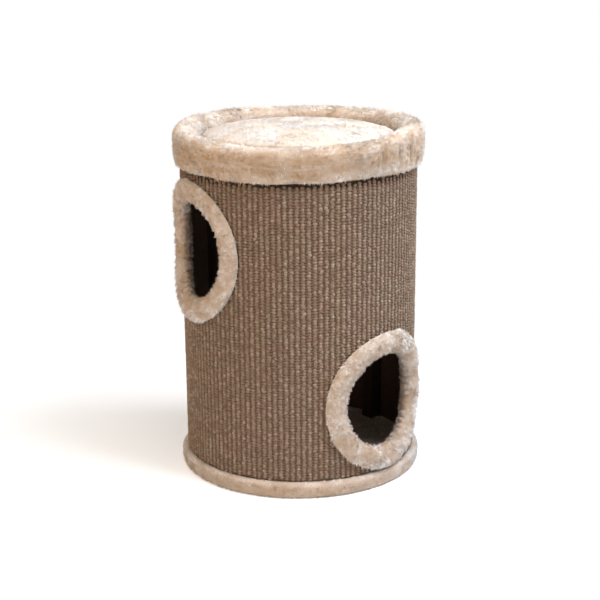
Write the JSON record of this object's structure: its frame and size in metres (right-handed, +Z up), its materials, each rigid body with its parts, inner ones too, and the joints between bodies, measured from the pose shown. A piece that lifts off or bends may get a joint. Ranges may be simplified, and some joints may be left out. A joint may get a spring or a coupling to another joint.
{
  "type": "cat barrel",
  "caption": "Sisal-covered cat scratching barrel with padded round entrances, a plush base and a bed on top with a padded rim and a loose cushion.",
  "frame": {"origin": "on the floor, on the barrel's axis", "axes": "+Z up along the barrel, -Y out of the lower entrance"},
  "size_m": [0.3497, 0.3498, 0.4945],
  "materials": {
    "chipboard": "raw sawn chipboard",
    "hardboard": "bent hardboard, smooth side in",
    "pine": "planed pine, stained dark",
    "screw_steel": "zinc plated",
    "foam": "open-cell foam",
    "filling": "loose polyester filling",
    "sisal": "ribbed woven sisal, heather brown",
    "beige_plush": "short-pile plush",
    "cream_plush": "short-pile plush"
  },
  "bodies": {
    "barrel": {"base_board": "chipboard", "base_plush": "beige_plush", "front_batten": "pine", "seam_batten": "pine", "back_batten": "pine", "barrel_wall": "hardboard", "sisal_cover": "sisal", "lower_entrance_foam": "foam", "lower_entrance_plush": "beige_plush", "upper_entrance_foam": "foam", "upper_entrance_plush": "beige_plush", "top_board": "chipboard", "bed_plush": "cream_plush", "rim_foam": "foam", "rim_plush": "beige_plush", "base_screw_front": "screw_steel", "base_screw_seam": "screw_steel", "base_screw_back": "screw_steel", "top_screw_front": "screw_steel", "top_screw_seam": "screw_steel", "top_screw_back": "screw_steel"},
    "cushion": {"cushion_top": "cream_plush", "cushion_bottom": "cream_plush", "cushion_filling": "filling"}
  },
  "joints": [
    {"name": "cushion_lift", "type": "slide", "parent": "barrel", "child": "cushion", "axis": [0, 0, 1], "range_m": [0, 0.1]}
  ]
}
